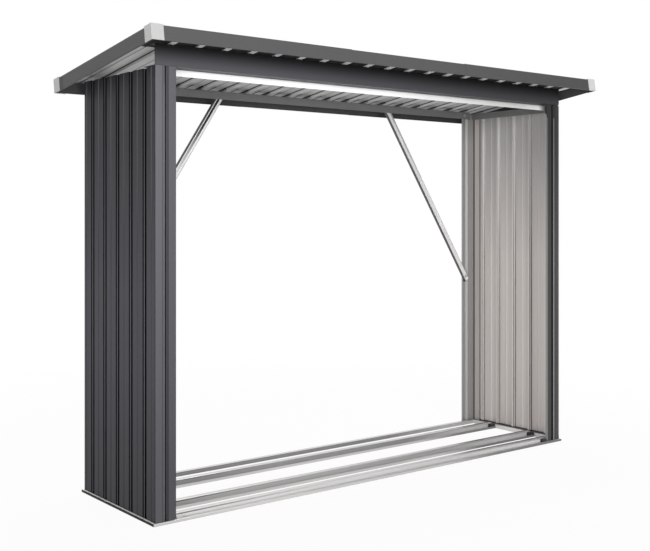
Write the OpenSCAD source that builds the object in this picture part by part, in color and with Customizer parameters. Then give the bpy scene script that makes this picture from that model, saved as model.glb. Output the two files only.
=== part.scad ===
// Open log store of folded sheet steel: ribbed side walls, a lean-to roof and an open front and back.
// Millimetres, +Z up, front towards -Y, origin on the ground under the middle of the whole outline.

/* [Body] */
// Width over the outer faces of the side walls
body_w = 2016; // [1400:8:2800]
// Depth over the front and rear faces of the posts
body_d = 520; // [400:4:800]
// Height of the side walls' top edge above the ground
wall_h = 1484; // [1000:4:2000]
// Thickness of the folded steel sheet
sheet_t = 1; // [0.6:0.1:1.4]
// Inner radius of the folds
bend_r = 2; // [1:0.5:3]
// Gap between pieces that pass close by each other
fit_gap = 0.4; // [0.2:0.1:0.8]

/* [Base] */
// How far the base ring stands out beyond the walls and posts
base_proud = 8; // [6:1:12]
// Width of the base and floor channels
channel_w = 28; // [26:1:36]
// Height of the tall leg of the channels, below its flange
tall_leg = 22; // [18:1:40]
// Height of the short leg of the channels
short_leg = 11; // [7:1:16]
// Width of the flange on top of the tall leg
channel_lip = 22; // [8:1:26]
// Distance from the front face to the tall leg of the front floor rail
front_rail_at = 149; // [110:1:165]
// Distance from the rear face to the tall leg of the rear floor rail
rear_rail_in = 136; // [100:1:165]
// Length of an end block in the front channel and the floor rails
block_len = 24; // [16:1:40]
// How far an end block stays below the tall leg's top
block_drop = 2; // [1:0.5:6]

/* [Posts] */
// Width of a post across the front or rear
post_w = 80; // [66:1:110]
// Depth of a post's side flange, from the front or rear face
post_side = 45; // [35:1:50]
// Distance of the post's groove from the side wall's outer face
groove_at = 43; // [40:1:48]
// Width of the post's groove at the face
groove_w = 20; // [14:1:22]
// Width of the post's groove at its floor
groove_floor = 8; // [4:1:10]
// Depth of the post's groove
groove_d = 8; // [4:1:9]

/* [Walls] */
// Spacing of the ribs in a side wall
wall_pitch = 96; // [80:1:110]
// Width of a rib at the sheet's face, on walls and roof
rib_w = 24; // [18:1:28]
// Width of a rib at its floor, on walls and roof
rib_floor = 10; // [6:1:14]
// Depth of a rib, on walls and roof
rib_d = 12; // [8:1:13]
// Width of the shallow bead halfway between ribs
bead_w = 12; // [8:1:20]
// Width of the bead at its floor
bead_floor = 5; // [2:1:6]
// Depth of the bead
bead_d = 1.5; // [0.8:0.1:2.5]

/* [Top] */
// Height of the side and rear top rails below the wall tops
top_rail_h = 26; // [24:1:50]
// Depth of a top rail's other leg
top_rail_leg = 20; // [12:1:20]
// Height of the lintel's lower edge above the wall tops
lintel_rise = 4; // [1:1:20]
// Depth of the lintel's upper flange
lintel_leg = 26; // [24:1:40]
// Depth of the lintel's lower flange
lintel_shelf = 76; // [74:1:100]
// Height of the front top rail that shows below the lintel
front_rail_show = 22.5; // [14:0.5:40]
// Setback of the front top rail behind the lintel's face
front_rail_set = 54; // [48:1:54]

/* [Roof] */
// Fall of the roof towards the rear, in degrees
roof_fall = 7.9; // [4:0.1:11]
// Height of the rib floors above the wall tops, at the rear face
eave_gap = 3.5; // [3:0.5:20]
// Roof beyond the front face, along the slope
front_overhang = 130; // [80:1:200]
// Roof beyond the rear face, along the slope
rear_overhang = 80; // [50:1:160]
// Roof beyond each side wall
side_overhang = 84; // [60:1:140]
// Spacing of the ribs in the roof sheets
roof_pitch = 104.5; // [90:0.5:120]
// Flat foot of a roof sheet beyond its lapped rib
lap_foot = 6; // [3:1:10]
// Run of the step where a lapping sheet drops back to the others
lap_step = 5; // [3:1:8]

/* [Trim] */
// Height of the roof's edge trim
trim_h = 48.5; // [40:0.5:70]
// Width of the trim's lip over the roof sheet
trim_lip = 16; // [10:1:24]
// Width of the trim's lower hem
trim_hem = 6; // [4:1:10]
// Length of the middle piece of the front and rear trim that stays in view
trim_middle = 574; // [300:2:900]
// Length over which the end pieces lap the middle piece
trim_lap = 40; // [20:1:80]
// Length of a corner cap along each edge
cap_leg = 44; // [34:1:60]
// Wall of a corner cap
cap_t = 2; // [1.5:0.1:3]
// How far a corner cap reaches below the trim
cap_drop = 1; // [0.5:0.5:3]

/* [Braces] */
// Distance of a brace's upper end from the side wall's outer face
brace_top_in = 570; // [300:5:650]
// Distance of a brace's lower end from the side wall's outer face
brace_foot_in = 60; // [54:1:62]
// Height of a brace's lower end
brace_foot_z = 691; // [300:1:900]
// Rise of a brace's upper end behind the rear top rail
brace_over = 14; // [12:1:16]
// Width of a brace
brace_w = 29; // [18:1:32]
// Depth of a brace's legs
brace_leg = 10; // [6:1:14]

/* [Hidden] */

anthracite = [0.27, 0.27, 0.29];
galvanised = [0.72, 0.72, 0.72];
cap_grey = [0.85, 0.84, 0.84];
block_black = [0.04, 0.04, 0.04];

half_w = body_w / 2;
half_d = body_d / 2;
cut = 1;
bend_step = 45;

// Levels on the roof, measured from the underside of the sheets' flats
slope_len = body_d / cos(roof_fall);
trim_under = 3 * sheet_t;
trim_top = trim_under + sheet_t;
cap_top = trim_top + cap_t;
cap_bottom = trim_top - trim_h - cap_drop;
roof_half = half_w + side_overhang;
edge_u = roof_half - cap_t;
edge_front = cap_t - front_overhang;
edge_rear = slope_len + rear_overhang - cap_t;

// Front and rear faces of the body, with the origin under the middle of the whole outline
front_reach = front_overhang * cos(roof_fall) - cap_bottom * sin(roof_fall);
rear_reach = rear_overhang * cos(roof_fall) + cap_top * sin(roof_fall);
front_y = (front_reach - rear_reach) / 2 - half_d;
rear_y = front_y + body_d;
mid_y = front_y + half_d;

// Heights at the top of the body
ribs_rear_z = wall_h + eave_gap;
ribs_front_z = ribs_rear_z + body_d * tan(roof_fall);
roof_z = ribs_front_z + rib_d / cos(roof_fall);
lintel_z = wall_h + lintel_rise;
rail_z = wall_h - top_rail_h;

// Faces that the walls, posts and rails share
post_inset = sheet_t + bead_d + fit_gap;
rib_face = rib_d + sheet_t;
groove_face = groove_d + sheet_t;
base_inner = base_proud - channel_w;
base_edge = base_proud - 2 * fit_gap;
rear_rail_at = body_d - rear_rail_in;
brace_y = rear_y - groove_face - brace_leg;

// Roof ribs on each side of the middle one, and the one under the lap
sheet_edge = edge_u - sheet_t - fit_gap;
roof_ribs = floor((sheet_edge - rib_w) / roof_pitch);
lap_rib = round(roof_ribs * 0.4);

// Folds: each inner corner of a path becomes an arc, wider by t where the sheet lies inside the bend
function unit(v) = v / norm(v);
function left_of(v) = [-v[1], v[0]];
function turned(v, angle) =
    [v[0] * cos(angle) - v[1] * sin(angle), v[0] * sin(angle) + v[1] * cos(angle)];
function bend_at(path, i, t) =
    let (
        before = path[i] - path[i - 1],
        after = path[i + 1] - path[i],
        turn = atan2(before[0] * after[1] - before[1] * after[0], before * after),
        slack = tan(abs(turn) / 2),
        room = 0.45 * min(norm(before), norm(after)),
        r = min(bend_r + (turn * t > 0 ? abs(t) : 0), room / slack),
        start = path[i] - r * slack * unit(before),
        centre = start + sign(turn) * r * left_of(unit(before)),
        steps = ceil(abs(turn) / bend_step)
    )
    [for (k = [0 : steps]) centre + turned(start - centre, turn * k / steps)];
function bent(path, t) = concat(
    [path[0]],
    [for (i = [1 : len(path) - 2]) each bend_at(path, i, t)],
    [path[len(path) - 1]]
);

// Sheet profile: a path of one face of the sheet, folded, and thickened to its left by t
function side_at(path, i) = left_of(unit(path[i + 1] - path[i]));
function mitre(path, i) =
    let (a = side_at(path, max(i - 1, 0)), b = side_at(path, min(i, len(path) - 2)))
    (a + b) / (1 + a * b);
function shifted(path, t) = [for (i = [0 : len(path) - 1]) path[i] + t * mitre(path, i)];
function reversed(path) = [for (i = [len(path) - 1 : -1 : 0]) path[i]];
function thickened(path, t) = concat(path, reversed(shifted(path, t)));
function sheet(path, t) = thickened(bent(path, t), t);

// One rib or bead across a path that runs along +x, d to the left of it
function dent(c, w, floor_w, d) = [
    [c - w / 2, 0],
    [c - floor_w / 2, d],
    [c + floor_w / 2, d],
    [c + w / 2, 0]
];
function rib(c, d) = dent(c, rib_w, rib_floor, d);
function bead(c, d) = dent(c, bead_w, bead_floor, d);

// Profiles across the channels and rails, from their outer edge inwards
function channel_path(edge, lip) = concat(
    edge > 0 ? [[edge, short_leg]] : [],
    [[0, short_leg], [0, 0], [channel_w, 0], [channel_w, tall_leg]],
    lip > 0 ? [[channel_w + lip, tall_leg]] : []
);
function angle_path(bottom, top, leg) = [[0, bottom], [0, top], [leg, top]];
function trim_path(top) =
    [[trim_lip, top], [0, top], [0, trim_top - trim_h], [trim_hem, trim_top - trim_h]];

// Draws a profile of x across and y up, with its length along X or Y
module along_x(from, to) {
    translate([from, 0, 0]) rotate([90, 0, 90]) linear_extrude(to - from) children();
}
module along_y(from, to) {
    translate([0, to, 0]) rotate([90, 0, 0]) linear_extrude(to - from) children();
}
module mirrored_x(flip) {
    mirror([flip ? 1 : 0, 0, 0]) children();
}
module mirrored_y(flip, middle) {
    translate([0, middle, 0]) mirror([0, flip ? 1 : 0, 0]) translate([0, -middle, 0]) children();
}

// Base ring, mitred at its corners, its short leg turned in towards the walls

module base_long() {
    reach = half_w + base_proud;
    depth = channel_w + channel_lip;
    translate([0, front_y - base_proud, 0]) intersection() {
        along_x(-reach, reach) polygon(sheet(channel_path(base_edge, channel_lip), sheet_t));
        linear_extrude(tall_leg + sheet_t)
            polygon([[-reach, 0], [reach, 0], [reach - depth, depth], [depth - reach, depth]]);
    }
}
module base_short() {
    reach = half_d + base_proud;
    translate([-half_w - base_proud, mid_y, 0]) intersection() {
        along_y(-reach, reach) polygon(sheet(channel_path(base_edge, 0), sheet_t));
        linear_extrude(tall_leg) polygon([
            [0, -reach],
            [channel_w, channel_w - reach],
            [channel_w, reach - channel_w],
            [0, reach]
        ]);
    }
}
module base_front() { color(galvanised) base_long(); }
module base_rear() { color(galvanised) mirrored_y(true, mid_y) base_long(); }
module base_left() { color(galvanised) base_short(); }
module base_right() { color(galvanised) mirrored_x(true) base_short(); }

// Floor rails between the side channels

module floor_rail(tall_at) {
    reach = half_w + base_inner;
    translate([0, front_y + tall_at - channel_w, 0])
        along_x(-reach, reach) polygon(sheet(channel_path(0, channel_lip), sheet_t));
}
module floor_rail_front() { color(galvanised) floor_rail(front_rail_at); }
module floor_rail_rear() { color(galvanised) floor_rail(rear_rail_at); }

// End blocks in the floor rails and, beside the posts, in the front channel, with chamfered tops

module end_block(inset, tall_at, edge) {
    near = max(edge + fit_gap, sheet_t + bend_r);
    far = channel_w - sheet_t - bend_r;
    top = tall_leg - block_drop;
    from = inset + fit_gap - half_w;
    chamfer = 2;
    translate([0, front_y + tall_at - channel_w, 0]) along_x(from, from + block_len) polygon([
        [near, sheet_t],
        [far, sheet_t],
        [far, top - chamfer],
        [far - chamfer, top],
        [near + chamfer, top],
        [near, top - chamfer]
    ]);
}
module base_block() { end_block(post_w, -base_inner, base_edge); }
module rail_block(tall_at) { end_block(-base_inner, tall_at, 0); }
module end_block_base_left() { color(block_black) base_block(); }
module end_block_base_right() { color(block_black) mirrored_x(true) base_block(); }
module end_block_front_left() { color(block_black) rail_block(front_rail_at); }
module end_block_front_right() { color(block_black) mirrored_x(true) rail_block(front_rail_at); }
module end_block_rear_left() { color(block_black) rail_block(rear_rail_at); }
module end_block_rear_right() { color(block_black) mirrored_x(true) rail_block(rear_rail_at); }

// Corner posts, standing in the base ring, with a lip as deep as the groove

module post(top) {
    path = concat(
        [[post_w, groove_face], [post_w, 0]],
        reversed(dent(groove_at, groove_w, groove_floor, groove_d)),
        [[post_inset, 0], [post_inset, post_side]]
    );
    translate([-half_w, front_y, sheet_t])
        linear_extrude(top - sheet_t) polygon(sheet(path, -sheet_t));
}
module post_front_left() { color(anthracite) post(lintel_z); }
module post_front_right() { color(anthracite) mirrored_x(true) post(lintel_z); }
module post_rear_left() { color(anthracite) mirrored_y(true, mid_y) post(wall_h); }
module post_rear_right() { color(anthracite) mirrored_x(true) mirrored_y(true, mid_y) post(wall_h); }

// Side walls of ribbed sheet, the ribs pressed inwards

module side_wall() {
    rib_limit = half_d - post_side - rib_w / 2 - fit_gap;
    bead_limit = half_d - bead_w / 2 - fit_gap;
    step = wall_pitch / 2;
    last = floor(bead_limit / step);
    path = concat(
        [[-half_d, 0]],
        [for (j = [-last : last])
            if (abs(j * step) < (j % 2 == 0 ? rib_limit : bead_limit))
                each j % 2 == 0 ? rib(j * step, rib_d) : bead(j * step, bead_d)],
        [[half_d, 0]]
    );
    profile = [for (p = sheet(path, sheet_t)) [p[1] - half_w, p[0] + mid_y]];
    translate([0, 0, sheet_t]) linear_extrude(wall_h - sheet_t) polygon(profile);
}
module wall_left() { color(anthracite) side_wall(); }
module wall_right() { color(anthracite) mirrored_x(true) side_wall(); }

// Top rails and lintel

module top_rail_front() {
    reach = half_w - rib_face - top_rail_leg - fit_gap;
    path = angle_path(lintel_z - front_rail_show, lintel_z, top_rail_leg);
    color(galvanised) translate([0, front_y + front_rail_set, 0])
        along_x(-reach, reach) polygon(sheet(path, -sheet_t));
}
// The rear rail lies in front of the braces, with a tab at each end back to the post's groove
module top_rail_rear() {
    reach = half_w - groove_at + sheet_t / 2;
    top = ribs_rear_z + (rear_y - brace_y) * tan(roof_fall) - sheet_t / cos(roof_fall);
    leg = top_rail_leg * [cos(roof_fall), -sin(roof_fall)];
    path = [[0, rail_z], [0, top], [leg[0], top + leg[1]]];
    color(anthracite) translate([0, brace_y, 0]) {
        along_x(-reach, reach) polygon(sheet(path, sheet_t));
        for (x = [-reach, reach - sheet_t])
            translate([x, -sheet_t, rail_z]) cube([sheet_t, brace_leg + sheet_t, top_rail_h]);
    }
}
module side_top_rail() {
    reach = half_d - groove_face - fit_gap;
    path = angle_path(rail_z, wall_h, top_rail_leg);
    translate([rib_face - half_w, mid_y, 0])
        along_y(-reach, reach) polygon(sheet(path, -sheet_t));
}
module top_rail_left() { color(anthracite) side_top_rail(); }
module top_rail_right() { color(anthracite) mirrored_x(true) side_top_rail(); }

module lintel() {
    leg = lintel_leg * [cos(roof_fall), -sin(roof_fall)];
    path = [[lintel_shelf, lintel_z], [0, lintel_z], [0, ribs_front_z], [leg[0], ribs_front_z + leg[1]]];
    color(anthracite) translate([0, front_y, 0])
        along_x(-half_w, half_w) polygon(sheet(path, -sheet_t));
}

// Braces from the rear posts' lips to the back of the rear top rail

module brace() {
    foot = [half_w - brace_foot_in, brace_foot_z];
    head = [half_w - brace_top_in, rail_z + brace_over];
    run = head - foot;
    path = [[-brace_w / 2, brace_leg], [-brace_w / 2, 0], [brace_w / 2, 0], [brace_w / 2, brace_leg]];
    translate([foot[0], brace_y, foot[1]]) rotate([0, atan2(run[0], run[1]), 0])
        linear_extrude(norm(run)) polygon(sheet(path, sheet_t));
}
module brace_left() { color(galvanised) mirrored_x(true) brace(); }
module brace_right() { color(galvanised) brace(); }

// Roof: u along X, v down the slope from the front face, w square to the sheets

module on_roof() {
    translate([0, front_y, roof_z]) rotate([-roof_fall, 0, 0]) children();
}
module roof_sheet(path) {
    inset = 2 * sheet_t + fit_gap;
    color(anthracite) on_roof()
        along_y(edge_front + inset, edge_rear - inset) polygon(sheet(path, sheet_t));
}
// Ribs at even steps of half a pitch from the middle, beads at odd ones
function roof_waves(from, to) = [
    for (j = [from : to])
        each j % 2 == 0 ? rib(j * roof_pitch / 2, -rib_d) : bead(j * roof_pitch / 2, -bead_d)
];
// The lapped rib of the middle sheet lies in the side sheet's rib, one sheet thickness higher
function lap_path(c) =
    let (reach = rib_w / 2 + lap_foot)
    concat(
        shifted(concat([[c - reach, 0]], rib(c, -rib_d), [[c + reach, 0]]), sheet_t),
        [[c + reach + lap_step, 0]]
    );
module side_roof_sheet() {
    roof_sheet(concat(
        [[-sheet_edge, 0]],
        roof_waves(-2 * roof_ribs, -2 * lap_rib),
        [[lap_foot + rib_w / 2 - lap_rib * roof_pitch, 0]]
    ));
}
module roof_sheet_left() { side_roof_sheet(); }
module roof_sheet_right() { mirrored_x(true) side_roof_sheet(); }
module roof_sheet_middle() {
    left_lap = lap_path(-lap_rib * roof_pitch);
    right_lap = [for (p = reversed(left_lap)) [-p[0], p[1]]];
    roof_sheet(concat(left_lap, roof_waves(1 - 2 * lap_rib, 2 * lap_rib - 1), right_lap));
}

// Edge trim: end pieces lap the middle piece, and the corners are mitred

module long_trim_end() {
    seam = -trim_middle / 2;
    depth = max(trim_lip, trim_hem);
    translate([0, edge_front, 0]) intersection() {
        along_x(-edge_u, seam) polygon(sheet(trim_path(trim_top), sheet_t));
        translate([0, 0, trim_top - trim_h]) linear_extrude(trim_h)
            polygon([[-edge_u, 0], [seam, 0], [seam, depth], [depth - edge_u, depth]]);
    }
}
module long_trim_middle() {
    reach = trim_middle / 2 + trim_lap;
    path = [[trim_lip, trim_under], [0, trim_under], [0, trim_top - trim_h + sheet_t]];
    translate([0, edge_front + sheet_t, 0])
        along_x(-reach, reach) polygon(sheet(path, sheet_t));
}
module short_trim() {
    depth = max(trim_lip, trim_hem);
    intersection() {
        translate([-edge_u, 0, 0])
            along_y(edge_front, edge_rear) polygon(sheet(trim_path(trim_top), sheet_t));
        translate([-edge_u, 0, trim_top - trim_h]) linear_extrude(trim_h) polygon([
            [0, edge_front],
            [depth, edge_front + depth],
            [depth, edge_rear - depth],
            [0, edge_rear]
        ]);
    }
}
module at_edge(right, rear) {
    color(anthracite) on_roof() mirrored_x(right) mirrored_y(rear, (edge_front + edge_rear) / 2) children();
}
module front_trim_left() { at_edge(false, false) long_trim_end(); }
module front_trim_middle() { at_edge(false, false) long_trim_middle(); }
module front_trim_right() { at_edge(true, false) long_trim_end(); }
module rear_trim_left() { at_edge(false, true) long_trim_end(); }
module rear_trim_middle() { at_edge(false, true) long_trim_middle(); }
module rear_trim_right() { at_edge(true, true) long_trim_end(); }
module side_trim_left() { at_edge(false, false) short_trim(); }
module side_trim_right() { at_edge(true, false) short_trim(); }

// Corner caps: two walls and a top over the mitred corner

module corner_cap(right, rear) {
    height = cap_top - cap_bottom;
    color(cap_grey) on_roof() mirrored_x(right) mirrored_y(rear, (edge_front + edge_rear) / 2)
        translate([-roof_half, edge_front - cap_t, cap_bottom]) difference() {
            cube([cap_leg, cap_leg, height]);
            translate([cap_t, cap_t, -cut]) cube([cap_leg, cap_leg, height - cap_t + cut]);
        }
}
module corner_cap_front_left() { corner_cap(false, false); }
module corner_cap_front_right() { corner_cap(true, false); }
module corner_cap_rear_left() { corner_cap(false, true); }
module corner_cap_rear_right() { corner_cap(true, true); }

base_front();
base_rear();
base_left();
base_right();
floor_rail_front();
floor_rail_rear();
end_block_base_left();
end_block_base_right();
end_block_front_left();
end_block_front_right();
end_block_rear_left();
end_block_rear_right();
post_front_left();
post_front_right();
post_rear_left();
post_rear_right();
wall_left();
wall_right();
top_rail_front();
top_rail_rear();
top_rail_left();
top_rail_right();
lintel();
brace_left();
brace_right();
roof_sheet_left();
roof_sheet_middle();
roof_sheet_right();
front_trim_left();
front_trim_middle();
front_trim_right();
rear_trim_left();
rear_trim_middle();
rear_trim_right();
side_trim_left();
side_trim_right();
corner_cap_front_left();
corner_cap_front_right();
corner_cap_rear_left();
corner_cap_rear_right();
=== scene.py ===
import math

import bpy
from mathutils import Matrix, Vector


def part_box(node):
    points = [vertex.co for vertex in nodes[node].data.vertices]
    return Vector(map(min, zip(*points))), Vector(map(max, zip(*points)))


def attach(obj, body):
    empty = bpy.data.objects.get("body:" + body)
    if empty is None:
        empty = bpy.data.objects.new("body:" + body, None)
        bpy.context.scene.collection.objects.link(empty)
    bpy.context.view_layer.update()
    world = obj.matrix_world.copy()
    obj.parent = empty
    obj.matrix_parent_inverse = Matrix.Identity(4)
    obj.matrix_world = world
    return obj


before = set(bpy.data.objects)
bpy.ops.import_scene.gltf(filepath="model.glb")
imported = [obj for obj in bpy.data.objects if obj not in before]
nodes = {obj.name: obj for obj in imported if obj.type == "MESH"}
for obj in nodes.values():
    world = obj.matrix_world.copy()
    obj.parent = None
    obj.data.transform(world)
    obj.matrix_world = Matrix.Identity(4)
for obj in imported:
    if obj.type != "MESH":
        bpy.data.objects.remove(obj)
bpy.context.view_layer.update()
print("frame loaded:", len(nodes), "nodes")

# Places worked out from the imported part
wallLow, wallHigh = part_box("wall_left")
wallOut = -wallLow.x  # outer face of the side walls
frontFace, rearFace = wallLow.y, wallHigh.y
middleY = (frontFace + rearFace) / 2
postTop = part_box("post_front_left")[1].z
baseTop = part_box("base_right")[1].z
railLow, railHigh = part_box("top_rail_rear")
braceLow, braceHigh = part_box("brace_right")

right, front, rear, up = (1, 0, 0), (0, -1, 0), (0, 1, 0), (0, 0, 1)
squarely = 0.6  # a face that looks along a direction by more than this belongs to that side

roof = {"fall": 7.9, "pitch": 0.1045, "ribs": 10, "seatRear": 1.4875, "sheet": 0.001}
roofFall = math.radians(roof["fall"])
roofUp = (0, math.sin(roofFall), math.cos(roofFall))


class Wire:
    # one socket of a node tree; arithmetic on it adds Math nodes to that tree
    def __init__(self, owner, socket):
        self.owner = owner
        self.socket = socket

    def __add__(self, other):
        return self.owner.calc("ADD", self, other)

    def __sub__(self, other):
        return self.owner.calc("SUBTRACT", self, other)

    def __rsub__(self, other):
        return self.owner.calc("SUBTRACT", other, self)

    def __mul__(self, other):
        return self.owner.calc("MULTIPLY", self, other)

    def __gt__(self, other):
        return self.owner.calc("GREATER_THAN", self, other)

    def __lt__(self, other):
        return self.owner.calc("LESS_THAN", self, other)

    __radd__ = __add__
    __rmul__ = __mul__


class Nodes:
    # a node tree, with the one method that adds a node to it
    def __init__(self, tree):
        self.tree = tree

    def node(self, kind, settings=None, inputs=None, output=0):
        made = self.tree.nodes.new(kind)
        for name, value in (settings or {}).items():
            setattr(made, name, value)
        for name, value in (inputs or {}).items():
            self.feed(made.inputs[name], value)
        return Wire(self, made.outputs[output])

    def feed(self, socket, value):
        if isinstance(value, Wire):
            self.tree.links.new(value.socket, socket)
        else:
            socket.default_value = value

    def calc(self, operation, *values):
        return self.node("ShaderNodeMath", {"operation": operation}, dict(enumerate(values)))


class Finish(Nodes):
    # one material, with its principled shader and the nodes that feed it
    def __init__(self, name, **sockets):
        self.material = bpy.data.materials.new(name)
        self.material.use_nodes = True
        super().__init__(self.material.node_tree)
        self.shader = self.tree.nodes["Principled BSDF"]
        self.place = self.node("ShaderNodeTexCoord", output="Object")
        self.facing = self.node("ShaderNodeTexCoord", output="Normal")
        for socket, value in sockets.items():
            self.into(socket.replace("_", " "), value)

    def into(self, socket, value):
        self.feed(self.shader.inputs[socket], value)

    def noise(self, scale, stretch=(1, 1, 1), detail=2):
        spot = self.node("ShaderNodeMapping", inputs={"Vector": self.place, "Scale": stretch})
        return self.node("ShaderNodeTexNoise", inputs={"Vector": spot, "Scale": scale, "Detail": detail})

    def range(self, value, low, high, toLow=0, toHigh=1):
        return self.node(
            "ShaderNodeMapRange",
            {"clamp": True},
            {"Value": value, "From Min": low, "From Max": high, "To Min": toLow, "To Max": toHigh},
        )

    def blend(self, factor, first, second):
        return self.node("ShaderNodeMix", {"data_type": "RGBA"}, {0: factor, 6: first, 7: second}, output=2)

    def dot(self, vector, direction):
        kind = {"operation": "DOT_PRODUCT"}
        return self.node("ShaderNodeVectorMath", kind, {0: vector, 1: direction}, output="Value")

    def along(self, direction):
        return self.dot(self.facing, direction)  # how far a face looks along a direction, from -1 to 1

    def reach(self, direction):
        return self.dot(self.place, direction)  # how far a spot lies along a direction, in metres

    def bump(self, height, strength, distance):
        return self.node(
            "ShaderNodeBump",
            inputs={"Height": height, "Strength": strength, "Distance": distance},
        )

    def darker(self, tone, where, share=1):
        return self.blend(where * share, tone, grey(0))

    def banded(self, tone, depth, bands):
        # darker strips, each between two depths and by a share
        for low, high, share in bands:
            tone = self.darker(tone, between(depth, low, high), share)
        return tone


def between(value, low, high):
    return (value > low) * (value < high)


def grey(value, warm=0.0):
    # a screen grey from 0 to 255 as a linear colour, a little warm or, below 0, violet
    linear = ((value / 255 + 0.055) / 1.055) ** 2.4
    return (linear * (1 + abs(warm) / (1 if warm > 0 else 6)), linear, linear * (1 - warm), 1)


# Camera

view = {
    "from": (-2.6228, -3.2006 + middleY, 1.0102),
    "turn": -38.18,  # degrees about the vertical
    "lens": 56.93,
    "sensor": 36,
    "shift": -62.5 / 650,  # upright, as a share of the picture's width
    "farthest": 200,
}


def addCamera():
    camera = bpy.data.objects.new("photoCamera", bpy.data.cameras.new("photoCamera"))
    bpy.context.scene.collection.objects.link(camera)
    camera.location = view["from"]
    camera.rotation_euler = (math.radians(90), 0, math.radians(view["turn"]))
    camera.data.lens = view["lens"]
    camera.data.sensor_width = view["sensor"]
    camera.data.shift_y = view["shift"]
    camera.data.clip_end = view["farthest"]
    bpy.context.scene.camera = camera
    print("camera set")


# Studio: white world, pale floor, soft lamps

studio = {
    "white": (1, 1, 1, 1),
    "ambient": 0.34,
    "floorReach": 60,
    "floorTone": grey(212),
    "floorRough": 0.9,
    "floorShade": (1.6, 3.4, 0.05, 0),  # shadow seen by the camera: 0.05 at 1.6 m out, none past 3.4 m
}
lamps = {
    "keyLamp": {"at": (-1.6, -5.2, 1.5), "aim": (0, 0, 0.9), "size": 2.6, "watts": 170},
    "sideLamp": {"at": (-5.0, -3.6, 1.2), "aim": (0.4, 0, 1.0), "size": 2.0, "watts": 95},
    "topLamp": {"at": (0.6, 1.6, 5.2), "aim": (0, 0, 0.8), "size": 3.0, "watts": 150},
    "rightLamp": {"at": (5.2, 0.9, 1.0), "aim": (1.0, 0.1, 0.8), "size": 1.8, "watts": 110},
}


def addWorld():
    # white to the camera and in reflections, dimmer as a light
    world = bpy.data.worlds.new("studio")
    bpy.context.scene.world = world
    world.use_nodes = True
    sky = Nodes(world.node_tree)
    sky.tree.nodes.remove(sky.tree.nodes["Background"])
    seen, glossy, clear = [
        sky.node("ShaderNodeLightPath", output="Is %s Ray" % kind)
        for kind in ("Camera", "Glossy", "Transmission")
    ]
    seen = sky.calc("MAXIMUM", seen, sky.calc("MAXIMUM", glossy, clear))
    dim, bright = [
        sky.node("ShaderNodeBackground", inputs={"Color": studio["white"], "Strength": strength})
        for strength in (studio["ambient"], 1)
    ]
    mix = sky.node("ShaderNodeMixShader", inputs={0: seen, 1: dim, 2: bright})
    sky.feed(sky.tree.nodes["World Output"].inputs["Surface"], mix)


def addFloor():
    bpy.ops.object.select_all(action="DESELECT")
    bpy.ops.mesh.primitive_plane_add(size=studio["floorReach"])
    floor = bpy.context.object
    floor.name = "floor"
    paving = Finish("paleFloor", Base_Color=studio["floorTone"], Roughness=studio["floorRough"])
    direct = paving.node("ShaderNodeLightPath", output="Is Camera Ray")
    glossy = paving.node("ShaderNodeLightPath", output="Is Glossy Ray")
    away = paving.node("ShaderNodeVectorMath", {"operation": "LENGTH"}, {0: paving.place}, output="Value")
    white = (direct + glossy) * (1 - paving.range(away, *studio["floorShade"]))
    lit = Wire(paving, paving.shader.outputs[0])
    glow = paving.node("ShaderNodeEmission")
    mix = paving.node("ShaderNodeMixShader", inputs={0: white, 1: lit, 2: glow})
    paving.feed(paving.tree.nodes["Material Output"].inputs["Surface"], mix)
    floor.data.materials.append(paving.material)


def addStudio():
    addWorld()
    addFloor()
    for name, lamp in lamps.items():
        light = bpy.data.lights.new(name, "AREA")
        light.energy = lamp["watts"]
        light.size = lamp["size"]
        holder = bpy.data.objects.new(name, light)
        holder.location = lamp["at"]
        aim = Vector(lamp["aim"]) - Vector(lamp["at"])
        holder.rotation_euler = aim.to_track_quat("-Z", "Y").to_euler()
        bpy.context.scene.collection.objects.link(holder)
    bpy.context.scene.view_settings.view_transform = "Standard"
    print("studio set")


# Finishes: each sheet is coated outside and bare inside, toned by place as the light falls in the photo

paint = {"colour": grey(80, -0.11), "fleck": grey(88, -0.11), "rough": 0.45, "shine": 0.1}
# a darker, plainer copy of the paint, as painted shade on the right front post
plain = {"colour": grey(73), "fleck": grey(81)}
# the base channels' outer coat, painted much darker than the paint as shade
black = {"colour": grey(28), "fleck": grey(32)}
fleck = {
    "scale": 900,
    "mix": (0.35, 0.75),
    "sheen": (0.2, 0.8, paint["rough"] - 0.04, paint["rough"] + 0.06),
    "bump": (0.06, 0.0004),
}
streak = {"scale": 9, "detail": 3, "mix": (0.3, 0.7), "down": (1, 1, 0.08), "across": (0.12, 1, 1)}
sheetMetal = {"metallic": 0.35, "dim": (0.9, 1.0)}  # how metallic the bare side is, and its streaks
lifted = {"height": (0.2, 1.3), "tone": grey(146, -0.11)}  # painted light: the coat lighter upwards


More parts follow.
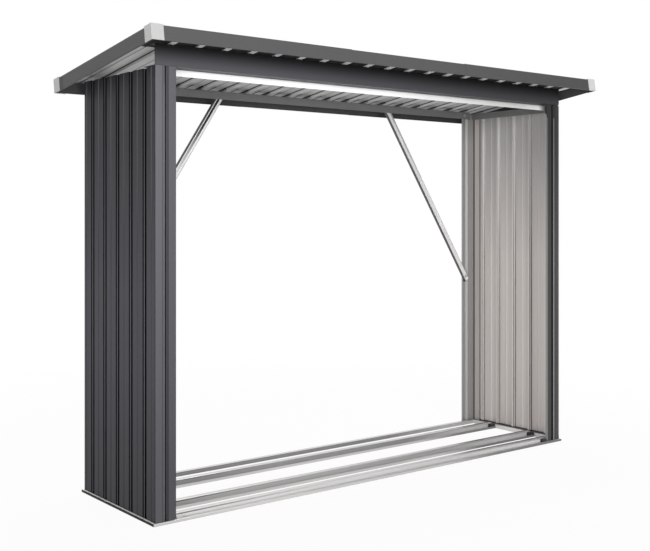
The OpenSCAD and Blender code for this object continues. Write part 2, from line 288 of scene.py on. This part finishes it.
class Sheet(Finish):
    # sheet steel with a coat on the faces that look along outside, and bare metal on the others
    def __init__(self, name, outside, lean, colours, metal):
        super().__init__(name, Specular_IOR_Level=paint["shine"])
        self.painted = self.along(outside) > lean
        self.flecks = self.noise(fleck["scale"], detail=1)
        self.coat = self.blend(self.range(self.flecks, *fleck["mix"]), colours["colour"], colours["fleck"])
        streaks = self.noise(streak["scale"], streak["down"], streak["detail"])
        self.metal = self.blend(self.range(streaks, *streak["mix"], *sheetMetal["dim"]), grey(0), metal)
        self.height = self.reach(up)
        self.shiny = 1 - self.painted
        self.sheen = self.range(self.flecks, *fleck["sheen"])
        self.shadeStrips = 0  # painted shade strips, made fully metallic so that they mirror nothing

    # painted light on the coat, lighter upwards
    def lift(self, share):
        self.coat = self.blend(self.range(self.height, *lifted["height"]) * share, self.coat, lifted["tone"])

    def dimCoat(self, where, share=1):
        self.coat = self.darker(self.coat, where, share)

    def dimMetal(self, where, share=1):
        self.metal = self.darker(self.metal, where, share)

    def paleCoat(self, where, tone):
        self.coat = self.blend(where, self.coat, tone)

    def paleMetal(self, where, tone):
        self.metal = self.blend(where, self.metal, tone)

    def close(self):
        self.into("Base Color", self.blend(self.painted, self.metal, self.coat))
        self.into("Metallic", self.shiny * sheetMetal["metallic"] + self.shadeStrips)
        self.into("Roughness", self.sheen)
        self.into("Normal", self.bump(self.flecks, *fleck["bump"]))
        return self.material


wall = {
    # the walls' coat, painted darker than the paint as shade
    "colours": {"colour": grey(66, -0.16), "fleck": grey(73, -0.16)},
    "metal": (0.62, 0.576, 0.556, 1),
    "lean": -0.2,
    # painted light: the coat lighter upwards
    "lift": 0.06,
    "ribSide": 0.5,  # a rib's side looks to the front or rear by more than this, squared
    "dark": ((0.0001, 0.0029, 1), (0.0059, 0.02, 1)),  # painted shade strips on a rib's side, by depth
    "pale": {"depth": (0.0029, 0.0059), "tone": grey(125, -0.11), "share": 0.25},  # painted highlight strip between those
    "edge": (0.0115, 0.014),  # painted shade line along a rib's far side, from the rib's middle
    "pitch": 0.096,
    # painted highlight on the beads, lighter higher up
    "bead": {"facing": (0.25, 0.6), "height": (0.93, 1.45, 0, 0.5), "tone": grey(185, -0.11)},
    "coatShade": ((0.75, 1.25, 0, 0.48), (0.05, 0.5, 0.32, 0), (1.3, 1.47, 0, 0.25)),  # painted shade, by height
    # painted shade strips on the ribs' bare side, by depth
    "inner": ((0.0028, 0.0055, 0.88), (0.0055, 0.0095, 0.25), (0.0095, 0.0122, 0.88)),
    "foot": {"depth": 0.0028, "share": 0.55},  # painted shade where a rib's side starts, inside
    "ahead": {"reach": (0.06, 0.14), "share": 0.3, "tone": (0.95, 0.89, 0.86, 1)},  # painted light by the front post
    "high": {"height": (0.8, 1.3, 0, 0.65), "tone": grey(158)},  # painted shade under the roof
    "low": {"over": 0.003, "share": 0.8},  # painted shade line over the base
}


def wallSheet(name, sign):
    sheet = Sheet(name, (sign, 0, 0), wall["lean"], wall["colours"], wall["metal"])
    sheet.lift(wall["lift"])
    depth = sheet.reach((-sign, 0, 0)) + wallOut
    back = sheet.reach(rear)
    turned = sheet.along(rear)
    ribDepth = depth * (turned * turned > wall["ribSide"])  # depth on the sides of the ribs alone
    sheet.coat = sheet.banded(sheet.coat, ribDepth, wall["dark"])
    sheet.paleCoat(between(ribDepth, *wall["pale"]["depth"]) * wall["pale"]["share"], wall["pale"]["tone"])
    ahead = sheet.along(front)
    bead = between(ahead, *wall["bead"]["facing"]) * sheet.range(sheet.height, *wall["bead"]["height"])
    sheet.paleCoat(bead, wall["bead"]["tone"])
    half = wall["pitch"] / 2
    edge = between(sheet.calc("WRAP", back - middleY, half, -half), *wall["edge"])
    sheet.dimCoat(edge)
    for shade in wall["coatShade"]:
        sheet.dimCoat(sheet.range(sheet.height, *shade))
    # the painted shade strips and lines mirror nothing
    for strip in wall["dark"]:
        sheet.shadeStrips = between(ribDepth, *strip[:2]) * sheet.painted + sheet.shadeStrips
    sheet.shadeStrips = edge * sheet.painted * (1 - sheet.shadeStrips) + sheet.shadeStrips

    sheet.metal = sheet.banded(sheet.metal, depth, wall["inner"])
    sheet.dimMetal((ahead > squarely) * (depth < wall["foot"]["depth"]), wall["foot"]["share"])
    near, far = [frontFace + step for step in wall["ahead"]["reach"]]
    sheet.paleMetal(sheet.range(back, near, far, wall["ahead"]["share"], 0), wall["ahead"]["tone"])
    sheet.paleMetal(sheet.range(sheet.height, *wall["high"]["height"]), wall["high"]["tone"])
    sheet.dimMetal(sheet.height < baseTop + wall["low"]["over"], wall["low"]["share"])
    return sheet.close()


post = {
    "metal": grey(164, 0.01),
    "lean": 0.02,
    "turn": 0.15,  # how far the coated side is turned from the front or rear
    "past": {"edge": 0.053, "share": 0.18},  # painted shade beyond the groove, from the outer edge
    "pale": {"below": 0.06, "tone": grey(185)},  # the painted highlight strips end this far below the top
    "top": {"height": (0.85, 1.35), "metal": 0.045, "share": 0.9},  # painted shade: darker upwards, and inside at the top
    "flange": {"reach": 0.02, "back": 0.016, "share": 0.7},  # the side that lies on the wall, in painted shade towards the rear
}
grooves = {  # painted shade and painted highlight strips across a front post, from its outer edge, and how much darker it gets upwards; the left post is painted lighter upwards
    "Left": {
        "dark": ((0.0265, 0.030, 0.35), (0.0413, 0.0455, 1), (0.0455, 0.053, 0.5)),
        "pale": ((0.0335, 0.0408, 0.2),),
        "top": 0,
        "colours": paint,
        "lift": 0.24,
    },
    "Right": {
        "dark": ((0.0245, 0.031, 0.5), (0.0345, 0.0425, 0.85)),
        "pale": ((0.031, 0.0345, 0.6), (0.074, 0.082, 0.4)),
        "top": 0.45,
        "colours": plain,
        "lift": 0,
    },
}


def frontPostSheet(side, sign):
    groove = grooves[side]
    outside = (post["turn"], -1, 0)
    sheet = Sheet("frontPost" + side, outside, post["lean"], groove["colours"], post["metal"])
    sheet.lift(groove["lift"])
    # painted shade and highlight strips along the groove, painted shade upwards and beyond it
    across = wallOut - sheet.reach((sign, 0, 0))
    sheet.coat = sheet.banded(sheet.coat, across, groove["dark"])
    for low, high, share in groove["pale"]:
        strip = between(across, low, high) * (sheet.height < postTop - post["pale"]["below"])
        sheet.paleCoat(strip * share, post["pale"]["tone"])
    sheet.dimCoat(sheet.range(sheet.height, *post["top"]["height"], 0, groove["top"]))
    sheet.dimCoat(across > post["past"]["edge"], post["past"]["share"])
    sheet.dimMetal(sheet.height > postTop - post["top"]["metal"], post["top"]["share"])
    return sheet.close()


def rearPostSheet(side, sign):
    # the side that lies on the wall is as pale as the wall, in painted shade towards the rear
    outside = (post["turn"] * sign, 1, 0)
    sheet = Sheet("rearPost" + side, outside, post["lean"], paint, post["metal"])
    inward = (-sign, 0, 0)
    flange = post["flange"]
    beside = (sheet.along(inward) > squarely) * (sheet.reach(inward) < flange["reach"] - wallOut)
    sheet.paleMetal(beside, wall["metal"])
    sheet.dimMetal(beside * (sheet.reach(rear) > rearFace - flange["back"]), flange["share"])
    return sheet.close()


roofLook = {
    "metal": grey(199, 0.005),
    "lean": -0.2,
    "flats": 0.006,  # between the ribs' floors and the flats, over the seat
    # painted shade on the front lip's flats and painted light on its rib floors
    "lip": {"reach": 0.09, "share": 0.9, "rough": 0.5, "tone": grey(255)},
    "line": {"rise": (0.0005, 0.0045), "share": 0.85},  # painted shade line along the ribs
    "mark": {"ahead": 0.02, "rise": (-0.003, 0.0055), "share": 0.6},  # painted shade marks, wider, beside the rear rail
}


def roofSheet():
    # underneath, the front lip's flats are shut off from the light, in painted shade, and its rib floors are
    # painted white as lit
    sheet = Sheet("roofSheet", roofUp, roofLook["lean"], paint, roofLook["metal"])
    lip, line, mark = roofLook["lip"], roofLook["line"], roofLook["mark"]
    flats = rearFace * roofUp[1] + roof["seatRear"] * roofUp[2] + roofLook["flats"]
    back = sheet.reach(rear)
    ahead = back < frontFace + lip["reach"]
    rise = sheet.reach(roofUp) - flats
    shut = ahead * (rise > 0)
    sheet.dimMetal(shut, lip["share"])
    sheet.paleMetal(ahead * (1 - (rise > 0)), lip["tone"])
    sheet.dimMetal((1 - ahead) * between(rise, *line["rise"]), line["share"])
    sheet.dimMetal((back > railLow.y - mark["ahead"]) * between(rise, *mark["rise"]), mark["share"])
    sheet.sheen = sheet.sheen + sheet.shiny * shut * lip["rough"]
    sheet.shiny = sheet.shiny * (1 - shut)
    return sheet.close()


baseSide = {
    "lean": 0.7,
    # bare tones: the left one painted lighter than the right, as light
    "left": grey(248, 0.01),
    "right": grey(228, 0.01),
    "dark": ((-0.001, 0.0035, 0.75),),  # painted shade strip down the right one's inner side, from its top
}


def baseSheet(name, sign, metal):
    sheet = Sheet(name, (sign, 0, 0), baseSide["lean"], black, metal)
    if sign > 0:
        sheet.metal = sheet.banded(sheet.metal, baseTop - sheet.height, baseSide["dark"])
    return sheet.close()


lintelLook = {"low": 0.008, "high": 0.01, "share": 0.85, "side": (-0.6, 1.0, 0, 0.45)}


def lintelCoat():
    # the coat, in painted shade: darker upwards under the roof and to the right
    low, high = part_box("lintel")
    finish = Finish("lintelCoat", Specular_IOR_Level=paint["shine"], Roughness=paint["rough"])
    shade = finish.range(finish.reach(up), low.z + lintelLook["low"], high.z - lintelLook["high"])
    tone = finish.darker(paint["colour"], finish.range(finish.reach(right), *lintelLook["side"]))
    finish.into("Base Color", finish.darker(tone, shade, lintelLook["share"]))
    return finish.material


trimLook = {
    "colour": grey(84, -0.02),
    "fleck": grey(92, -0.02),
    "ends": grey(91, -0.02),
    "turned": 0.5,  # an end looks to the left or right by more than this, squared
    "side": (0.2, 1.1, 0, 0.2),
    "rear": 0.25,
}


def trimCoat():
    # the coat on the roof's edge, of one lighter tone on the ends as painted light, and in painted shade
    # darker at the rear and to the right
    finish = Finish("trimCoat", Specular_IOR_Level=paint["shine"], Roughness=paint["rough"])
    flecks = finish.range(finish.noise(fleck["scale"], detail=1), *fleck["mix"])
    tone = finish.blend(flecks, trimLook["colour"], trimLook["fleck"])
    turned = finish.along(right)
    tone = finish.blend(turned * turned > trimLook["turned"], tone, trimLook["ends"])
    tone = finish.darker(tone, finish.reach(rear) > rearFace, trimLook["rear"])
    finish.into("Base Color", finish.darker(tone, finish.range(finish.reach(right), *trimLook["side"])))
    return finish.material


backing = {
    "colour": grey(109),
    "cloud": grey(117, 0.01),
    "clouds": 30,
    "rough": 0.5,
    "shine": 0.3,
    "corner": {"reach": 0.065, "share": 0.9},  # painted shade in the shut-off corner behind the lintel
}


def backingCoat():
    # the plain grey back of the coated sheet, on the rails inside, with painted shade in the corner behind
    # the lintel
    finish = Finish("backingCoat", Roughness=backing["rough"], Specular_IOR_Level=backing["shine"])
    tone = finish.blend(finish.noise(backing["clouds"]), backing["colour"], backing["cloud"])
    ahead = finish.reach(rear) < frontFace + backing["corner"]["reach"]
    finish.into("Base Color", finish.darker(tone, ahead, backing["corner"]["share"]))
    return finish.material


zinc = {"colour": grey(205, 0.02), "shade": grey(186, 0.025), "rough": 0.34, "metallic": 0.9}
spangle = {"scale": 90, "rough": (zinc["rough"] - 0.06, zinc["rough"] + 0.06)}


def zincTone(finish):
    streaks = finish.noise(streak["scale"], streak["across"], streak["detail"])
    return finish.blend(finish.range(streaks, *streak["mix"]), zinc["colour"], zinc["shade"])


def galvanisedSteel():
    finish = Finish("galvanisedSteel", Metallic=zinc["metallic"])
    cells = {"Vector": finish.place, "Scale": spangle["scale"]}
    cells = finish.node("ShaderNodeTexVoronoi", {"feature": "F1"}, cells, output="Color")
    finish.into("Base Color", zincTone(finish))
    sheen = finish.node("ShaderNodeSeparateColor", inputs={"Color": cells})
    finish.into("Roughness", finish.range(sheen, 0, 1, *spangle["rough"]))
    return finish.material


railLook = {
    "streaks": {"scale": 60, "stretch": (0.02, 1, 2), "detail": 3, "mix": (0.3, 0.7), "shade": 0.82},
    "top": {"width": 0.0055, "spread": (0.05, 0.7, 0.1, 0.75)},  # painted shade line at the top, by the square of the place
    # painted glare towards the right
    "glare": {"reach": (0.45, 0.8), "share": 0.4, "tone": grey(240)},
    "lip": 0.011,  # width of the rear lip
    # painted shade lines on the rear lip and the front leg
    "leg": {"width": 0.003, "share": 0.75},
    "line": 0.9,
}
rails = {  # inner: the inner side's tone, in painted light and shade; start: where the inner side begins, from the front; ends: where the painted dark edges come in
    "base_front": {"name": "baseFrontSteel", "inner": grey(222), "ends": (0.3, 0.6), "start": 0.012},
    "floor_rail_front": {"name": "frontRailSteel", "inner": grey(176), "ends": (0.4, 0.65), "start": 0.012},
    "floor_rail_rear": {"name": "rearRailSteel", "inner": grey(158), "ends": (0.5, 0.75), "start": 0.012},
    "base_rear": {"name": "baseRearSteel", "inner": grey(150), "ends": (0.45, 0.65), "start": -0.01},
}


def railSteel(node, rail):
    # zinc with its inner side in painted light and shade, a painted shade line on top, painted glare to the
    # right, and painted dark edges towards the right end
    low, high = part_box(node)
    finish = Finish(rail["name"], Roughness=zinc["rough"])
    streaks, top, glare, leg = [railLook[key] for key in ("streaks", "top", "glare", "leg")]
    place, back = finish.reach(right), finish.reach(rear)
    ahead = finish.along(front) > squarely

    pattern = finish.noise(streaks["scale"], streaks["stretch"], streaks["detail"])
    shade = [channel * streaks["shade"] for channel in rail["inner"][:3]] + [1]
    paintedShading = finish.blend(finish.range(pattern, *streaks["mix"]), rail["inner"], shade)
    upper = finish.reach(up) > high.z - top["width"]
    paintedShading = finish.darker(paintedShading, upper * finish.range(place * place, *top["spread"]))
    paintedShading = finish.blend(finish.range(place, *glare["reach"]) * glare["share"], paintedShading, glare["tone"])

    lip = (finish.along(up) > squarely) * (back > high.y - railLook["lip"])
    line = lip + ahead * (back < low.y + leg["width"]) * leg["share"]
    line = line * finish.range(place, *rail["ends"])
    inside = ahead * (back > low.y + rail["start"])
    shine = finish.darker(zincTone(finish), line, railLook["line"])
    finish.into("Base Color", finish.blend(inside, shine, paintedShading))
    finish.into("Metallic", (1 - inside) * (1 - line) * zinc["metallic"])
    return finish.material


braceLook = {
    "foot": (0.06, 0.691),  # in from the wall's outer face, and up
    "head": (0.57, 0.014),  # in from the wall's outer face, and over the rail's lower edge
    "streaks": {"scale": 40, "stretch": (1, 1, 0.2), "detail": 3, "mix": (0.3, 0.7)},
    # the zinc's pale tones, lifted near white as painted reflection
    "tones": (grey(246), grey(234)),
    "dark": {"from": 0.0095, "share": 0.92, "tone": grey(30)},  # painted shade on the fold to the left
    "grey": {"until": -0.0105, "share": 0.45},  # painted shade on the other fold
    "stripe": {"height": (1.12, 1.34), "tone": grey(6), "metallic": (0.3, 0.7)},
}
braces = {  # the painted shade stripe high up: from, to, share
    "left": {"sign": -1, "stripe": (-0.003, 0.0065, 0.95)},
    "right": {"sign": 1, "stripe": (-0.0105, -0.004, 0.4)},
}


def braceSteel(name, brace):
    # pale zinc, lifted near white as painted reflection, in painted shade with a dark fold on the edge to
    # the left, a grey one on the other and a dark stripe high up
    sign = brace["sign"]
    inset, rise = braceLook["foot"]
    foot = Vector((sign * (wallOut - inset), 0, rise))
    inset, rise = braceLook["head"]
    run = Vector((sign * (wallOut - inset), 0, railLow.z + rise)) - foot
    edge = Vector((-run.z, 0, run.x)).normalized()
    finish = Finish(name, Roughness=zinc["rough"])
    streaks, dark, paintedShading, stripe = [braceLook[key] for key in ("streaks", "dark", "grey", "stripe")]
    across = finish.reach(edge) - foot.dot(edge)
    pattern = finish.noise(streaks["scale"], streaks["stretch"], streaks["detail"])
    tone = finish.blend(finish.range(pattern, *streaks["mix"]), *braceLook["tones"])
    tone = finish.blend((across > dark["from"]) * dark["share"], tone, dark["tone"])
    low, high, share = brace["stripe"]
    strip = between(across, low, high) * finish.range(finish.reach(up), *stripe["height"]) * share
    tone = finish.blend(strip, tone, stripe["tone"])
    metallic, more = stripe["metallic"]
    finish.into("Metallic", strip * more + metallic)  # the painted shade stripe mirrors nothing
    finish.into("Base Color", finish.darker(tone, across < paintedShading["until"], paintedShading["share"]))
    return finish.material


stripLook = {
    "rough": 0.3,
    "bright": grey(254),
    "paintedShading": grey(212, 0.01),
    "fade": (0.05, 0.68),
    "end": (0.83, 0.95),  # painted highlight again at the right end
}


def paintedGlareStrip():
    # the front rail's zinc, painted near white as glare, in painted shade towards the right
    finish = Finish("paintedGlareStrip", Roughness=stripLook["rough"])
    place = finish.reach(right)
    tone = finish.blend(finish.range(place, *stripLook["fade"]), stripLook["bright"], stripLook["paintedShading"])
    tone = finish.blend(finish.range(place, *stripLook["end"]), tone, stripLook["bright"])
    finish.into("Base Color", tone)
    return finish.material


plasticGrain = {"scale": 1200, "bump": (0.05, 0.0003)}
cap = {
    "rough": 0.55,
    "side": grey(198, 0.008),
    "front": (grey(184, 0.006), grey(214, 0.006)),  # painted light and shade on the front, from the left end to the right
    "turned": 0.5,
    "reach": (-1, 1),
}
block = {"rough": 0.6, "tones": (grey(24), grey(30))}


def capPlastic():
    # matte pale grey, of another tone on the front, in painted light and shade
    finish = Finish("capPlastic", Roughness=cap["rough"])
    face = finish.blend(finish.range(finish.reach(right), *cap["reach"]), *cap["front"])
    finish.into("Base Color", finish.blend(finish.along(front) > cap["turned"], cap["side"], face))
    finish.into("Normal", finish.bump(finish.noise(plasticGrain["scale"]), *plasticGrain["bump"]))
    return finish.material


def blockPlastic():
    finish = Finish("blockPlastic", Roughness=block["rough"])
    grain = finish.noise(plasticGrain["scale"])
    finish.into("Base Color", finish.blend(grain, *block["tones"]))
    finish.into("Normal", finish.bump(grain, *plasticGrain["bump"]))
    return finish.material


def dress(material, *names):
    for name in names:
        for slot in nodes[name].material_slots:
            slot.material = material


def named(word):
    return [name for name in nodes if word in name]


def addFinishes():
    for side, sign in (("Left", -1), ("Right", 1)):
        dress(wallSheet("wallSheet" + side, sign), "wall_" + side.lower())
        dress(frontPostSheet(side, sign), "post_front_" + side.lower())
        dress(rearPostSheet(side, sign), "post_rear_" + side.lower())
    dress(roofSheet(), *named("roof_sheet"))
    dress(trimCoat(), *named("trim"))
    dress(lintelCoat(), "lintel")
    dress(backingCoat(), "top_rail_rear", "top_rail_left", "top_rail_right")
    dress(paintedGlareStrip(), "top_rail_front")
    for node, rail in rails.items():
        dress(railSteel(node, rail), node)
    dress(baseSheet("baseLeftSheet", -1, baseSide["left"]), "base_left")
    dress(baseSheet("baseRightSheet", 1, baseSide["right"]), "base_right")
    for side, brace in braces.items():
        dress(braceSteel(side + "BraceSteel", brace), "brace_" + side)
    dress(capPlastic(), *named("cap"))
    dress(blockPlastic(), *named("block"))
    steel = galvanisedSteel()
    dress(steel, "end_block_base_left")
    print("finishes set")
    return steel


# Roof screws in the rib floors, over the lintel and the rear rail, and bolts on the rear rail and braces

screw = {"name": "roofScrew", "washer": 0.0042, "washerHigh": 0.0012, "head": 0.0031, "headHigh": 0.0032}
bolt = {"name": "frameBolt", "washer": 0.0075, "washerHigh": 0.0015, "head": 0.0058, "headHigh": 0.0042}
boltShape = {
    "washerSides": 24,
    "headSides": 6,
    "sunk": 0.0004,  # the washer in the sheet
    "overlap": 0.0003,  # the head in the washer
    "bevel": 0.25,  # of the height
    "bevelSteps": 2,
    "topFace": 0.9,
}
spots = {
    "screwFront": 0.014,  # behind the front face
    "screwRear": 0.009,  # ahead of the rear face
    "railBolt": 0.077,  # in from the wall's outer face
    "footBolt": (0.024, 0.026),  # in from the brace's outer end, and up from its foot
}


def modelBolt(size):
    bpy.ops.object.select_all(action="DESELECT")
    washerTop = size["washerHigh"]
    headLow, headTop = washerTop - boltShape["overlap"], washerTop + size["headHigh"]
    parts = []
    for corners, radius, low, high in (
        (boltShape["washerSides"], size["washer"], -boltShape["sunk"], washerTop),
        (boltShape["headSides"], size["head"], headLow, headTop),
    ):
        bpy.ops.mesh.primitive_cylinder_add(
            vertices=corners, radius=radius, depth=high - low, location=(0, 0, (low + high) / 2)
        )
        part = bpy.context.object
        bpy.ops.object.transform_apply(location=True, rotation=True, scale=True)
        for face in part.data.polygons:
            face.select = face.normal.z > boltShape["topFace"]
        bpy.ops.object.mode_set(mode="EDIT")
        bpy.ops.mesh.select_mode(type="FACE")
        offset = boltShape["bevel"] * (high - low)
        bpy.ops.mesh.bevel(offset=offset, segments=boltShape["bevelSteps"], affect="EDGES")
        bpy.ops.object.mode_set(mode="OBJECT")
        parts.append(part)
    for part in parts:
        part.select_set(True)
    bpy.context.view_layer.objects.active = parts[0]
    bpy.ops.object.join()
    parts[0].name = size["name"]
    return parts[0]


def placeBolt(master, name, spot, upward, material):
    copy = master.copy()
    copy.data = master.data.copy()
    copy.name = name
    bpy.context.scene.collection.objects.link(copy)
    turn = Vector(upward).to_track_quat("Z", "Y").to_matrix().to_4x4()
    copy.matrix_world = Matrix.Translation(Vector(spot)) @ turn
    bpy.ops.object.select_all(action="DESELECT")
    copy.select_set(True)
    bpy.context.view_layer.objects.active = copy
    bpy.ops.object.transform_apply(location=True, rotation=True, scale=True)
    copy.data.materials.clear()
    copy.data.materials.append(material)
    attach(copy, "root")


def addHardware(steel):
    master = modelBolt(screw)
    for row, y in (("Front", frontFace + spots["screwFront"]), ("Rear", rearFace - spots["screwRear"])):
        seat = roof["seatRear"] + (rearFace - y) * math.tan(roofFall) + roof["sheet"] / math.cos(roofFall)
        for count in range(-roof["ribs"], roof["ribs"] + 1, 2):
            x = count * roof["pitch"]
            if abs(x) < wallOut:
                name = "roofScrew%s%d" % (row, count + roof["ribs"])
                placeBolt(master, name, (x, y, seat), roofUp, steel)
    bpy.data.objects.remove(master)
    master = modelBolt(bolt)
    railZ = (railLow.z + railHigh.z) / 2
    inset, rise = spots["footBolt"]
    for side, sign in (("Left", -1), ("Right", 1)):
        spot = (sign * (wallOut - spots["railBolt"]), railLow.y, railZ)
        placeBolt(master, "railBolt" + side, spot, front, steel)
        foot = (sign * (braceHigh.x - inset), braceLow.y, braceLow.z + rise)
        placeBolt(master, "footBolt" + side, foot, front, steel)
    bpy.data.objects.remove(master)
    print("hardware set")


addCamera()
addStudio()
steel = addFinishes()
addHardware(steel)
